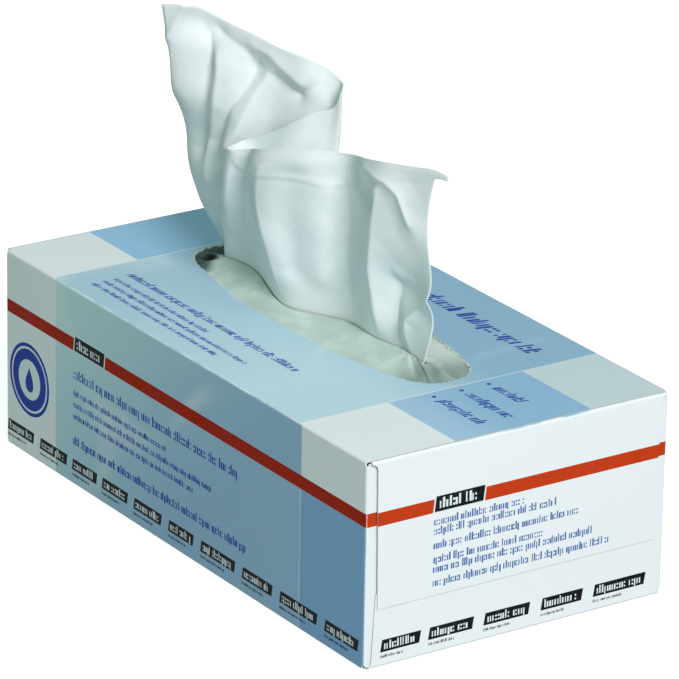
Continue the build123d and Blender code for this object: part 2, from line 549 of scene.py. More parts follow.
    def arcs(self, graph: Graph, place: object) -> bpy.types.NodeSocket:
        """Returns soft pale arcs: level lines of a slow noise, stronger where a second noise is high."""
        level = graph.math("SUBTRACT", graph.noise(place, self.arc_grain), self.arc_level)
        line = graph.math("SUBTRACT", 1.0, graph.rise(graph.math("ABSOLUTE", level), *self.arc_line))
        return graph.product(line, graph.patches(place, self.arc_clouds), self.arc_share)

    def top_colour(
        self, graph: Graph, along: object, from_back: object, arcs: object
    ) -> bpy.types.NodeSocket:
        """Returns the top's colour: a middle field that pales towards the front, between two columns.

        Args:
            graph: The board's node tree.
            along: Distance from the left end.
            from_back: Distance from the back.
            arcs: Share of the soft arcs.

        Returns:
            The colour at each place of the top.
        """
        more = graph.product(graph.rise(along, *self.pale_run), 1 - self.pale_least)
        share = graph.math("ADD", self.pale_least, more)
        fade = graph.product(graph.rise(from_back, *self.pale_depth), share)
        middle = graph.over(graph.over(self.top_deep, self.top_pale, fade), self.white, arcs)
        # where the lightened blue of the left column lies: painted light
        left_blue_painted_light = graph.math("LESS_THAN", from_back, self.left_field_end)
        left = graph.over(self.white, self.left_blue_painted_light, left_blue_painted_light)
        soft = graph.rise(from_back, self.right_field_fade, self.right_field_end)
        blue = graph.over(self.mid_blue, self.soft_blue, soft)
        front = graph.math("GREATER_THAN", from_back, self.right_field_end)
        plain = graph.over(self.grey, self.white, front)
        right = graph.over(plain, blue, graph.band(from_back, self.right_field_start, self.right_field_end))
        shade = graph.over(middle, left, graph.math("LESS_THAN", along, self.left_column))
        shade = graph.over(shade, right, graph.math("GREATER_THAN", along, self.right_column))
        first = graph.band(along, self.left_column, self.left_column + self.border)
        last = graph.band(along, self.right_column - self.border, self.right_column)
        edges = graph.product(graph.math("ADD", first, last), self.border_share)
        return graph.over(shade, self.white, edges)

    def side_colour(self, graph: Graph, reading: object, drop: object, arcs: object) -> bpy.types.NodeSocket:
        """Returns a long side's colour: a white column, a blue field, and a column, white over the stripe.

        Args:
            graph: The board's node tree.
            reading: Distance from the side's own left end.
            drop: Distance from the top.
            arcs: Share of the soft arcs.

        Returns:
            The colour at each place of the side.
        """
        left, right = self.left_column + self.side_shift, self.right_column + self.side_shift
        fade = graph.rise(graph.math("ADD", reading, drop), self.left_column, self.right_column)
        blue = graph.over(self.side_pale, self.side_deep, fade)
        blue = graph.over(blue, self.white, graph.product(arcs, self.side_arc_share))
        below = graph.math("GREATER_THAN", drop, self.stripe_top)
        column = graph.over(self.white, self.side_blue, below)
        shade = graph.over(blue, self.white, graph.math("LESS_THAN", reading, left))
        shade = graph.over(shade, column, graph.math("GREATER_THAN", reading, right))
        edge = graph.product(graph.band(reading, right - self.border, right), below)
        return graph.over(shade, self.white, graph.product(edge, self.side_border_share))

    def rubbed(
        self, graph: Graph, place: object, x: object, y: object, level: object
    ) -> bpy.types.NodeSocket:
        """Returns where the folds are rubbed pale: near two sides at once, in patches of a noise."""
        near_x = graph.beyond(x, self.length / 2 - self.end_rub)
        near_y = graph.beyond(y, self.width / 2 - self.rub)
        near_z = graph.beyond(level, self.height / 2 - self.rub)
        folds = graph.math("ADD", graph.math("ADD", near_x, near_y), near_z)
        two_sides = graph.math("GREATER_THAN", folds, self.rub_sides)
        return graph.product(two_sides, graph.patches(place, self.rub_grain), self.rub_share)


@dataclass(frozen=True)
class InkFinish:
    """Print on coated board: how unevenly an ink lies and how it shines."""

    grain: Grain = Grain(700.0, 3.0, 0.3, 0.8)
    kept: float = 0.94
    paler: float = 0.03
    uneven_share: float = 0.5
    gloss: float = 0.4
    gloss_spread: float = 0.15
    refraction: float = 1.45

    def material(self, name: str, ink: Colour) -> bpy.types.Material:
        """Builds an ink's material.

        Args:
            name: Name of the ink.
            ink: Its colour.

        Returns:
            The material: the ink, paler where a noise is high.
        """
        graph = Graph.of_material("ink_" + name)
        uneven = graph.patches(graph.place(), self.grain)
        lighter = tuple(self.kept * share + self.paler for share in ink)
        tone = graph.over(ink, lighter, graph.product(uneven, self.uneven_share))
        rough = graph.math("ADD", self.gloss, graph.product(uneven, self.gloss_spread))
        shader = graph.node("BsdfPrincipled", {
            "Base Color": tone, "Roughness": rough, "IOR": self.refraction,
            "Specular IOR Level": PrintedBoard.specular,
        })
        return graph.finish(shader.outputs[0])


class Ink(Enum):
    """Inks of the small print."""

    BLUE = colour(38, 66, 164)
    STEEL = colour(62, 108, 172)
    DARK = colour(14, 18, 24)
    WHITE = colour(228, 238, 240)

    def material(self) -> bpy.types.Material:
        """Builds the ink's material."""
        return InkFinish().material(self.name.lower(), self.value)


@dataclass(frozen=True)
class TissuePaper:
    """Soft two-ply paper with a fine embossed tooth."""

    name: str
    light: Colour
    shade: Colour
    cloud: Grain = Grain(45.0, 4.0, 0.25, 0.7)
    fibre: Grain = Grain(900.0, 4.0, 0.5, 0.85, 0.7)
    fibre_share: float = 0.35
    tooth: Grain = Grain(1700.0, 2.0)
    tooth_fibre: float = 0.6
    emboss: float = 0.00005
    emboss_strength: float = 0.7
    roughness: float = 0.9
    refraction: float = 1.4
    specular: float = 0.25
    sheen: float = 0.12
    sheen_roughness: float = 0.5

    def material(self) -> bpy.types.Material:
        """Builds the material on Object coordinates.

        Returns:
            The paper's material: a cloudy tint, fibres and a fine tooth.
        """
        graph = Graph.of_material(self.name)
        place = graph.place()
        fibre = graph.noise(place, self.fibre)
        threads = graph.rise(fibre, self.fibre.low, self.fibre.high)
        tone = graph.over(self.shade, self.light, graph.patches(place, self.cloud))
        tone = graph.over(tone, self.shade, graph.product(threads, self.fibre_share))
        tooth = graph.math("ADD", graph.noise(place, self.tooth), graph.product(fibre, self.tooth_fibre))
        shader = graph.node("BsdfPrincipled", {
            "Base Color": tone, "Roughness": self.roughness, "IOR": self.refraction,
            "Specular IOR Level": self.specular, "Sheen Weight": self.sheen,
            "Sheen Roughness": self.sheen_roughness,
            "Normal": graph.bump(tooth, self.emboss, self.emboss_strength),
        })
        return graph.finish(shader.outputs[0])


@dataclass(frozen=True)
class ClearFilm:
    """Thin clear film: see-through at its left end, and milky with folds and scuffs along the slit."""

    tint: Colour = colour(212, 230, 219)
    # painted shade: the film's see-through part is darkened, so that the carton's inside looks dark through it
    see_through_shade: Colour = (0.5, 0.62, 0.66, 1.0)
    least: float = 0.01
    haze: float = 0.86
    lean: float = 0.6
    clear_end: float = -0.069
    milky_start: float = -0.063
    thin_start: float = 0.05
    thin_end: float = 0.064
    thin_share: float = 0.6
    scuff: Grain = Grain(90.0, 5.0, 0.3, 0.7)
    scuff_start: float = 0.5
    scuff_share: float = 0.08
    streak_least: float = 0.88
    edge_blend: float = 0.2
    edge_share: float = 0.3
    ripple: Grain = Grain(120.0, 2.0)
    ripple_height: float = 0.0002
    ripple_strength: float = 0.4
    roughness: float = 0.16
    refraction: float = 1.5
    specular: float = 0.3

    def material(self) -> bpy.types.Material:
        """Builds the material on Object coordinates.

        Returns:
            The film's material: a pale glossy surface over a see-through one, more of it at a flat angle.
        """
        graph = Graph.of_material("clear_film")
        place = graph.place()
        along, side = graph.node("SeparateXYZ", {0: place}).outputs[:2]
        scuff = graph.patches(place, self.scuff)
        slant = graph.math("ADD", along, graph.product(side, self.lean))
        milky = graph.product(graph.rise(slant, self.clear_end, self.milky_start), self.haze)
        thin = graph.product(graph.rise(along, self.thin_start, self.thin_end), self.thin_share)
        milky = graph.product(milky, graph.math("SUBTRACT", 1.0, thin))
        streak = graph.math("ADD", self.streak_least, graph.product(scuff, 1 - self.streak_least))
        skin = graph.node("BsdfPrincipled", {
            "Base Color": self.tint, "Roughness": self.roughness, "IOR": self.refraction,
            "Specular IOR Level": self.specular,
            "Normal": graph.bump(graph.noise(place, self.ripple), self.ripple_height, self.ripple_strength),
        })
        # the see-through part, darkened as painted shade
        clear = graph.node("BsdfTransparent", {"Color": self.see_through_shade})
        facing = graph.node("LayerWeight", {"Blend": self.edge_blend}).outputs["Fresnel"]
        deep = graph.product(graph.rise(scuff, self.scuff_start, 1.0), self.scuff_share)
        plain = graph.math("ADD", self.least, deep)
        plain = graph.math("ADD", plain, graph.product(facing, self.edge_share))
        share = graph.math("ADD", plain, graph.product(milky, streak))
        shader = graph.node("MixShader", {0: share, 1: clear.outputs[0], 2: skin.outputs[0]})
        return graph.finish(shader.outputs[0])


@dataclass(frozen=True)
class Panel:
    """A printed side of the carton: its first corner, its two directions and its outward normal."""

    corner: Point
    right: Point
    down: Point
    normal: Point

    def points(self, flat: Array, lift: Array | float) -> Array:
        """Places flat points on the panel.

        Formula: corner + right * flat x + down * flat y + normal * lift.

        Args:
            flat: Points of shape (..., 2): from the left and from the top of the panel.
            lift: Height over the panel.

        Returns:
            Points of shape (..., 3).
        """
        across = flat[..., :1] * np.array(self.right)
        below = flat[..., 1:] * np.array(self.down)
        lifted = np.asarray(lift, float)[..., None] * np.array(self.normal)
        return np.array(self.corner) + across + below + lifted


@dataclass(frozen=True)
class Line:
    """A printed line that stands for a row of words: its box on the panel, its ink and its strokes.

    The pitch of the strokes, their width and their slant are shares of the line's height.
    """

    left: float
    right: float
    top: float
    bottom: float
    ink: Ink
    lift: float = 0.03
    pitch: float = 0.46
    width: float = 0.27
    slant: float = 0.0


@dataclass(frozen=True)
class Plate:
    """A plain dark label with slanted ends and one pale word, in a pale rim or without.

    The word's insets from the left, the right, the top and the bottom are shares of the label's height.
    """

    left: float
    right: float
    top: float
    bottom: float
    rim: float = 0.0
    slant: float = 0.7
    rim_lift: float = 0.02
    lift: float = 0.035
    word_lift: float = 0.05
    word_insets: tuple[float, float, float, float] = (0.35, 0.2, 0.34, 0.2)
    word_pitch: float = 0.52
    word_width: float = 0.3


@dataclass(frozen=True)
class Roundel:
    """A plain round emblem: rings of ink with a drop in the middle, with sizes as shares of its radius."""

    x: float
    y: float
    radius: float
    rings: tuple[tuple[float, Ink, float], ...] = (
        (1.0, Ink.BLUE, 0.02), (0.9, Ink.WHITE, 0.03), (0.84, Ink.BLUE, 0.04), (0.55, Ink.WHITE, 0.05),
    )
    drop: float = 0.34
    drop_width: float = 0.8
    drop_point: float = 1.3
    drop_lift: float = 0.06


@dataclass
class Print:
    """Small print of one panel, as thin closed slabs of ink.

    A stroke's kind is drawn from 0 to 1 and decides whether it is tall, deep or open. Reaches and bars are
    shares of the line's height.
    """

    name: str
    panel: Panel
    seed: int
    inset: float = 0.0
    sink: float = 0.02
    jitter: float = 0.12
    widths: Pair = (0.7, 1.3)
    tall_kinds: float = 0.2
    deep_kinds: float = 0.93
    open_kinds: Pair = (0.3, 0.55)
    tall_reach: float = 0.45
    deep_reach: float = 0.35
    bar: float = 0.32
    word_lengths: tuple[int, int] = (4, 13)
    slabs: list[tuple[Array, Ink, float]] = field(default_factory=list)

    def add_line(self, line: Line) -> None:
        """Fills a line with words, each a row of thin upright strokes that spell nothing.

        Formula: strokes stand one pitch apart, and a drawn count of them makes a word, with one stroke left
        out between words. Some reach over the line and a few below it, and some are open in the middle.

        Args:
            line: The line to fill.
        """
        draw = np.random.default_rng(self.seed + int(line.top * 10) + int(line.left * 100))
        height = line.bottom - line.top
        pitch = line.pitch * height
        count = int((line.right - line.left) / pitch)
        start = line.left + pitch * (np.arange(count) + draw.uniform(-self.jitter, self.jitter, count))
        end = start + line.width * height * draw.uniform(*self.widths, count)
        kind = draw.random(count)
        top = line.top - np.where(kind < self.tall_kinds, self.tall_reach * height, 0)
        bottom = line.bottom + np.where(kind > self.deep_kinds, self.deep_reach * height, 0)
        split = (kind > self.open_kinds[0]) & (kind < self.open_kinds[1])
        gaps = np.cumsum(draw.integers(*self.word_lengths, count) + 1) - 1
        kept = ~np.isin(np.arange(count), gaps)
        bars = (
            (kept & ~split, top, bottom),
            (kept & split, top, top + self.bar * height),
            (kept & split, bottom - self.bar * height, bottom),
        )
        for chosen, upper, lower in bars:
            y = np.stack((upper, upper, lower, lower), -1)
            x = np.stack((start, end, end, start), -1) + line.slant * (line.bottom - y)
            self.slabs.append((np.stack((x, y), -1)[chosen], line.ink, line.lift))

    def add_plate(self, plate: Plate) -> None:
        """Lays a plain label: a dark plate, in a pale rim if it has one, and a pale word on it.

        Args:
            plate: The label to lay.
        """
        for ink, grow, lift in ((Ink.WHITE, plate.rim, plate.rim_lift), (Ink.DARK, 0.0, plate.lift)):
            left, right = plate.left - grow, plate.right + grow
            top, bottom = plate.top - grow / 2, plate.bottom + grow / 2
            corners = (
                (left + plate.slant, top), (right + plate.slant, top), (right, bottom), (left, bottom),
            )
            self.add_shape(np.array(corners), ink, lift)
        left, right, top, bottom = (plate.bottom - plate.top) * np.array(plate.word_insets)
        self.add_line(Line(
            plate.left + left, plate.right - right, plate.top + top, plate.bottom - bottom, Ink.WHITE,
            plate.word_lift, plate.word_pitch, plate.word_width,
        ))

    def add_roundel(self, roundel: Roundel) -> None:
        """Lays a plain roundel: discs over one another and a drop on the pale middle one.

        Formula: the drop's half width is sin t sin(t / 2)^point of its turn t, and its height is cos t.

        Args:
            roundel: The roundel to lay.
        """
        for share, ink, lift in roundel.rings:
            self.add_shape(disc(roundel.x, roundel.y, share * roundel.radius), ink, lift)
        turn = np.linspace(0, 2 * math.pi, ROUND, endpoint=False)
        size = roundel.drop * roundel.radius
        across = size * roundel.drop_width * np.sin(turn) * np.sin(turn / 2) ** roundel.drop_point
        drop = np.stack((roundel.x + across, roundel.y - size * np.cos(turn)), -1)
        self.add_shape(drop, Ink.BLUE, roundel.drop_lift)

    def add_shape(self, outline: Array, ink: Ink, lift: float) -> None:
        """Adds one closed outline of shape (corners, 2) in an ink."""
        self.slabs.append((outline[None], ink, lift))

    def build(self) -> bpy.types.Object:
        """Makes all slabs one piece, with a material for each ink.

        Formula: each outline is placed twice, below the board's face and over it, and joined by quads.

        Returns:
            The print's object.
        """
        inks = list(Ink)
        points, faces, shades, start = [], [], [], 0
        for outlines, ink, lift in self.slabs:
            count, corners = outlines.shape[:2]
            heights = np.array((-self.sink, lift)) - self.inset
            both = np.repeat(outlines[:, None], 2, axis=1)
            raised = np.broadcast_to(heights[None, :, None], (count, 2, corners))
            points.append(self.panel.points(both, raised).reshape(-1, 3))
            low = start + np.arange(count)[:, None] * 2 * corners + np.arange(corners)
            high = low + corners
            walls = np.stack((low, high, np.roll(high, -1, 1), np.roll(low, -1, 1)), -1).reshape(-1, 4)
            made = low.tolist() + high[:, ::-1].tolist() + walls.tolist()
            faces += made
            shades += [inks.index(ink)] * len(made)
            start += count * 2 * corners
        materials = [ink.material() for ink in inks]
        piece = add_piece(self.name, np.concatenate(points), faces, materials, Slot.BOARD, False)
        piece.data.polygons.foreach_set("material_index", np.array(shades))
        return piece


@dataclass
class Oval:
    """Closed outline of round ends joined by long side arcs, each told by the direction of its normal."""

    length: float
    width: float
    end_radius: float
    centre: Pair

    def outline(self, count: int) -> tuple[Array, Array]:
        """Points evenly along the outline.

        Formula: the point whose normal has the angle t is the middle of its arc plus the arc's radius times
        (cos t, sin t). The ends' middles lie on the long axis, and the sides' middles on the short one.

        Args:
            count: Count of points.

        Returns:
            Points and outward normals, each of shape (count, 2).
        """
        end_middle = self.length / 2 - self.end_radius
        rise = self.width / 2 - self.end_radius
        side_radius = self.end_radius + (end_middle**2 + rise**2) / (2 * rise)
        side_middle = side_radius - self.width / 2
        join = math.cos(math.atan2(side_middle, end_middle))
        angle = np.linspace(0, 2 * math.pi, FINE * count)
        cosine, sine = np.cos(angle), np.sin(angle)
        end = np.abs(cosine) >= join
        radius = np.where(end, self.end_radius, side_radius)
        x = np.where(end, np.sign(cosine) * end_middle, 0) + radius * cosine
        y = np.where(end, 0, -np.sign(sine) * side_middle) + radius * sine
        points, normals = evenly(np.stack((x, y), -1), np.stack((cosine, sine), -1), count)
        return points + np.array(self.centre), normals


@dataclass
class Carton:
    """Glued paperboard carton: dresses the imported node, and adds torn teeth, corner webs and small print."""

    low: Array
    high: Array
    opening: Oval
    board: float = 0.5
    tooth_pitch: float = 2.1
    tooth_reach: float = 1.1
    tooth_seat: float = 0.3
    tooth_samples: int = 8
    run_samples: int = 400
    tooth_heights: Pair = (0.3, 1.0)
    tooth_droops: Pair = (-0.05, 0.3)
    tooth_round: float = 1.6
    tooth_seed: int = 4
    skin: float = 0.02
    web_inner: Point = (1.45, 6.5, 5.5)
    web_outer: Point = (1.05, 0.8, 0.8)

    def dress(self) -> None:
        """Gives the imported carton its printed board."""
        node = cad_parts["carton"]
        node.data.materials.clear()
        node.data.materials.append(PrintedBoard(*(self.high - self.low)).material())
        LOG.info("carton dressed")

    def build_perforation(self) -> bpy.types.Object:
        """Builds the small torn teeth round the opening.

        Formula: a flat ring under the board's face. Its outer edge is seated in the board, and its inner
        edge is the oval moved inwards by a rounded saw-tooth of the run along it, with uneven heights.

        Returns:
            The ring's object.
        """
        samples = self.tooth_samples
        run = run_along(self.opening.outline(self.run_samples)[0])[-1]
        teeth = int(run / self.tooth_pitch)
        outline, normals = self.opening.outline(teeth * samples)
        phase = np.arange(teeth * samples) % samples / samples
        draw = np.random.default_rng(self.tooth_seed)
        uneven = np.repeat(draw.uniform(*self.tooth_heights, teeth), samples)
        share = uneven * np.clip(self.tooth_round * np.sin(math.pi * phase), 0, 1)
        droop = np.repeat(draw.uniform(*self.tooth_droops, teeth), samples) * share
        seat = outline + normals * self.tooth_seat
        tip = outline - normals * self.tooth_reach * share[:, None]
        top = np.full(len(outline), self.high[2] - self.skin)
        bottom = np.full(len(outline), self.high[2] - self.board + self.skin)
        rings = ((seat, top), (tip, top - droop), (tip, bottom - droop), (seat, bottom))
        points = np.concatenate([np.column_stack(ring) for ring in rings])
        faces = outward(points, grid_faces(len(rings), len(outline), ring=True, tube=True)).tolist()
        finish = TissuePaper("torn_board", colour(214, 222, 220), colour(176, 186, 186))
        return add_piece("opening_perforation", points, faces, [finish.material()], Slot.BOARD, False)

    def build_corner_webs(self) -> bpy.types.Object:
        """Builds the webs of board that close the sleeve's corners behind the end flaps.

        Formula: a web is the box between two insets from the carton's corner, mirrored to all eight corners.

        Returns:
            The webs' object.
        """
        half, middle = (self.high - self.low) / 2, (self.high + self.low) / 2
        near, far = half - np.array(self.web_inner), half - np.array(self.web_outer)
        bits = np.indices((2, 2, 2)).reshape(3, -1).T
        signs = 2 * bits - 1
        points = middle + signs[:, None] * (near + bits * (far - near))
        quads = np.array((
            (0, 1, 3, 2), (4, 6, 7, 5), (0, 4, 5, 1), (2, 3, 7, 6), (0, 2, 6, 4), (1, 5, 7, 3),
        ))
        faces = quads[None] + len(bits) * np.arange(len(signs))[:, None, None]
        faces = np.where(signs.prod(axis=1)[:, None, None] > 0, faces, faces[..., ::-1])
        finish = TissuePaper("corner_board", colour(236, 242, 244), colour(226, 234, 236))
        faces = faces.reshape(-1, 4).tolist()
        return add_piece("corner_webs", points.reshape(-1, 3), faces, [finish.material()], Slot.BOARD, False)

    def panels(self) -> dict[str, Panel]:
        """Returns the five printed sides, each read from its own top left corner."""
        low_x, low_y, _ = self.low
        high_x, high_y, high_z = self.high
        left, right, front, back = (-1, 0, 0), (1, 0, 0), (0, -1, 0), (0, 1, 0)
        down = (0, 0, -1)
        return {
            "top": Panel((low_x, high_y, high_z), right, front, (0, 0, 1)),
            "front": Panel((low_x, low_y, high_z), right, down, front),
            "back": Panel((high_x, high_y, high_z), left, down, back),
            "right_end": Panel((high_x, low_y, high_z), back, down, right),
            "left_end": Panel((low_x, high_y, high_z), front, down, left),
        }

    def build_print(self) -> None:
        """Builds the small print of every side."""
        panels = self.panels()
        self.print_top(Print("top_print", panels["top"], seed=11)).build()
        for name in ("front", "back"):
            self.print_side(Print(name + "_print", panels[name], seed=23)).build()
        for name in ("right_end", "left_end"):
            self.print_end(Print(name + "_print", panels[name], seed=37)).build()
            flap = Print(name + "_flap_print", panels[name], seed=41, inset=self.board)
            self.print_flap(flap).build()

    def print_top(self, sheet: Print) -> Print:
        """Lays out the top: a large line at the back, four lines in front and three points at the right."""
        sheet.add_line(Line(110, 180, 16.5, 21.0, Ink.BLUE, slant=0.25))
        sheet.add_line(Line(45, 152, 94.9, 97.3, Ink.BLUE, slant=0.2))
        for right, top in ((106, 101.8), (137, 106.2), (125, 110.6)):
            sheet.add_line(Line(46, right, top, top + 1.5, Ink.BLUE, slant=0.2))
        for right, top in ((214, 46.2), (222, 57.2), (221, 68.2)):
            sheet.add_line(Line(197, right, top, top + 3.0, Ink.BLUE, slant=0.25))
            sheet.add_shape(disc(193.5, top + 1.6, 0.8), Ink.BLUE, 0.03)
        return sheet

    def print_side(self, sheet: Print) -> Print:
        """Lays out a long side: a roundel, five lines and a row of plain labels with captions."""
        sheet.add_roundel(Roundel(17.0, 44.0, 13.5))
        sheet.add_plate(Plate(47.5, 67.0, 17.2, 22.6, rim=0.6))
        sheet.add_line(Line(47, 153, 30.5, 33.0, Ink.BLUE))
        for right, top in ((108, 37.8), (138, 42.2), (125, 46.6)):
            sheet.add_line(Line(47, right, top, top + 1.5, Ink.BLUE))
        sheet.add_line(Line(47, 159, 55.5, 57.7, Ink.BLUE))
        lefts = (1.9, 24, 46, 66, 87, 109.5, 130, 156, 179, 206)
        rights = (19.5, 42.2, 62.3, 82.7, 104.7, 125.2, 151.2, 174.2, 201.2, 225.5)
        for left, right in zip(lefts, rights):
            sheet.add_plate(Plate(left, right, 63.3, 67.5))
            sheet.add_line(Line(left, left + 0.72 * (right - left), 68.9, 69.6, Ink.DARK))
        return sheet

    def print_end(self, sheet: Print) -> Print:
        """Lays out an end's upper flap: a label on the stripe and six lines."""
        sheet.add_plate(Plate(26, 45.2, 17.2, 22.6, rim=0.6))
        rows = ((62, 25.4), (75.5, 28.7), (84, 33.7), (71, 38.7), (90, 42.1), (97.5, 46.9))
        for right, top in rows:
            sheet.add_line(Line(26, right, top, top + 1.9, Ink.STEEL))
        return sheet

    def print_flap(self, sheet: Print) -> Print:
        """Lays out an end's lower flap: five plain labels with captions."""
        for left, right in ((6.2, 21.5), (25, 42.5), (47, 65), (70, 86.5), (91.3, 112.2)):
            sheet.add_plate(Plate(left, right, 63.5, 67.8))
            sheet.add_line(Line(left, left + 0.6 * (right - left), 69.1, 69.8, Ink.DARK))
        return sheet


# heights of the film's lip along the slit, in front of the sheet and behind it
LIP_FRONT = ((-70, 73.7), (-62, 75.6), (-36, 76.5), (-18, 73.7), (6, 73.9), (30, 74.9), (58, 76.3))
LIP_BACK = ((-70, 73.5), (-38, 74.4), (-6, 74.0), (30, 74.7), (58, 76.0))


@dataclass
class FilmInsert:
    """Clear film under the top panel, drawn up against the sheet that stands in its slit."""

    low: Array
    high: Array
    opening: Oval
    sheet: Array
    lip_gap: float = 0.35
    lip_stations: int = 44
    lip_band: float = 0.6
    front_window: float = 1.6
    back_window: float = 25.0
    end_gap: float = 0.5
    wrap: int = 4
    axis: Pair = (-52.0, 46.0)
    axis_side: float = 2.2
    axis_gap: float = 0.3
    slope: float = 1.25
    side_wrinkle: float = 0.16
    side_lengths: Pair = (3.1, 7.3)
    side_shift: float = 1.0
    end_wrinkle: float = 1.2
    end_waves: float = 15.0
    end_sway: float = 0.9
    sway_waves: float = 4.0
    full_run: float = 8.0
    least_way: float = 1e-6
    around: int = 520
    inner_rows: int = 40
    outer_rows: int = 12
    steps: int = 240
    cut_share: float = 0.964

    def lip(self) -> Array:
        """Works out the lip: a closed line round the foot of the standing sheet.

        Formula: at each station along the slit the lip stands one gap in front of the foremost point of
        the sheet that lies beside it at the lip's height, and one gap behind the rearmost point in a wider
        window, which narrows towards both ends. A point past each end joins the two lines, and a closed
        spline runs through all of them.

        Returns:
            Points of shape (around, 3), evenly along the lip's run.
        """
        x, y, z = self.sheet.T
        at_lip = np.abs(z - np.mean([height for _, height in LIP_FRONT])) < self.lip_band
        left, right = x[at_lip].min(), x[at_lip].max()
        stations = np.linspace(left, right, self.lip_stations + 2)[1:-1]
        front_height, back_height = (
            spline(*np.array(line, float).T, stations) for line in (LIP_FRONT, LIP_BACK)
        )
        off = np.abs(x - stations[:, None])
        beside = (off < self.front_window) & (np.abs(z - front_height[:, None]) < self.lip_band)
        to_end = np.minimum(stations - left, right - stations)
        window = np.minimum(self.back_window, to_end + self.front_window)
        around = (off < window[:, None]) & (np.abs(z - back_height[:, None]) < self.lip_band)
        front = np.where(beside, y, np.inf).min(axis=1) - self.lip_gap
        back = np.where(around, y, -np.inf).max(axis=1) + self.lip_gap
        on_axis = (stations > self.axis[0]) & (stations < self.axis[1])
        front = np.where(on_axis, np.minimum(front, self.axis_side - self.axis_gap), front)
        back = np.where(on_axis, np.maximum(back, self.axis_side + self.axis_gap), back)
        forth = np.stack((stations, front, front_height), -1)
        home = np.stack((stations, back, back_height), -1)
        first, last = (forth[[0, -1]] + home[[0, -1]]) / 2
        first[0], last[0] = left - self.end_gap, right + self.end_gap
        ring = np.concatenate((first[None], forth, last[None], home[::-1]))
        places = np.concatenate((ring[-self.wrap:], ring, ring[:self.wrap]))
        run = run_along(places)
        start, end = run[self.wrap], run[self.wrap + len(ring)]
        return spline(run, places, np.linspace(start, end, self.around, endpoint=False))

    def edge_distance(self, lip: Array, ways: Array, reach: Array) -> Array:
        """Finds how far each way runs to the edge of the opening.

        Formula: each way is stepped through, and its last step between the opening's front and back edges
        is the edge. Both are read from the opening's outline by their place along it.

        Args:
            lip: Points of the lip.
            ways: Directions away from the lip, of shape (around, 2).
            reach: Length of each way.

        Returns:
            A distance for each way.
        """
        distance = reach[None] * np.linspace(0, 1, self.steps)[:, None]
        plan = lip[None, :, :2] + ways[None] * distance[..., None]
        outline = self.opening.outline(self.steps)[0]
        middle = self.opening.centre[1]
        front = outline[outline[:, 1] < middle]
        back = outline[outline[:, 1] >= middle]
        front, back = front[np.argsort(front[:, 0])], back[np.argsort(back[:, 0])]
        over_front = plan[..., 1] > np.interp(plan[..., 0], *front.T)
        under_back = plan[..., 1] < np.interp(plan[..., 0], *back.T)
        within = np.abs(plan[..., 0] - self.opening.centre[0]) < self.opening.length / 2
        return np.max(distance * (over_front & under_back & within), axis=0)

    def build(self) -> bpy.types.Object:
        """Formula: each point of the lip runs away from the slit's axis to the opening's edge and on to the
        film's outer rectangle. Up to the edge the film falls from the lip to its own level by
        (1 - t)^slope, with sines of the place along the slit and, at its ends, of the way's direction as
        wrinkles.

        Returns:
            The film's object.
        """
        lip = self.lip()
        axis = np.stack((np.clip(lip[:, 0], *self.axis), np.full(self.around, self.axis_side)), -1)
        away = lip[:, :2] - axis
        ways = away / np.linalg.norm(away, axis=1, keepdims=True)
        limit = np.where(ways > 0, self.high[:2] - lip[:, :2], lip[:, :2] - self.low[:2])
        reach = np.min(limit / np.maximum(np.abs(ways), self.least_way), axis=1)
        edge = self.edge_distance(lip, ways, reach)
        inner = np.linspace(0, 1, self.inner_rows)[:, None]
        outer = np.linspace(0, 1, self.outer_rows + 1)[1:, None]
        distance = np.concatenate((inner * edge, edge + outer * (reach - edge)))
        plan = lip[None, :, :2] + ways[None] * distance[..., None]
        level = (self.low[2] + self.high[2]) / 2
        share = np.concatenate((inner, np.ones_like(outer)))
        turn = np.arctan2(ways[:, 1], ways[:, 0])
        at_end = np.sqrt(np.abs(ways[:, 0]))
        sway = self.end_sway * np.sin(self.sway_waves * turn)
        folds = self.end_wrinkle * at_end * np.sin(self.end_waves * turn + sway)
        short, long = self.side_lengths
        waves = self.side_wrinkle * (np.sin(lip[:, 0] / short) + np.sin(lip[:, 0] / long + self.side_shift))
        wrinkles = (folds + waves * (1 - at_end)) * np.minimum(edge / self.full_run, 1)
        height = level + (lip[None, :, 2] - level) * (1 - share) ** self.slope
        height = height + wrinkles * np.sin(math.pi * share)
        points = np.concatenate((plan, height[..., None]), -1).reshape(-1, 3)
        faces = grid_faces(len(share), self.around, ring=True)
        piece = add_piece("clear_film", points, faces.tolist(), [ClearFilm().material()], Slot.FILM, True)
        thicken(piece, self.high[2] - self.low[2])
        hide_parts("film_insert")
        return piece


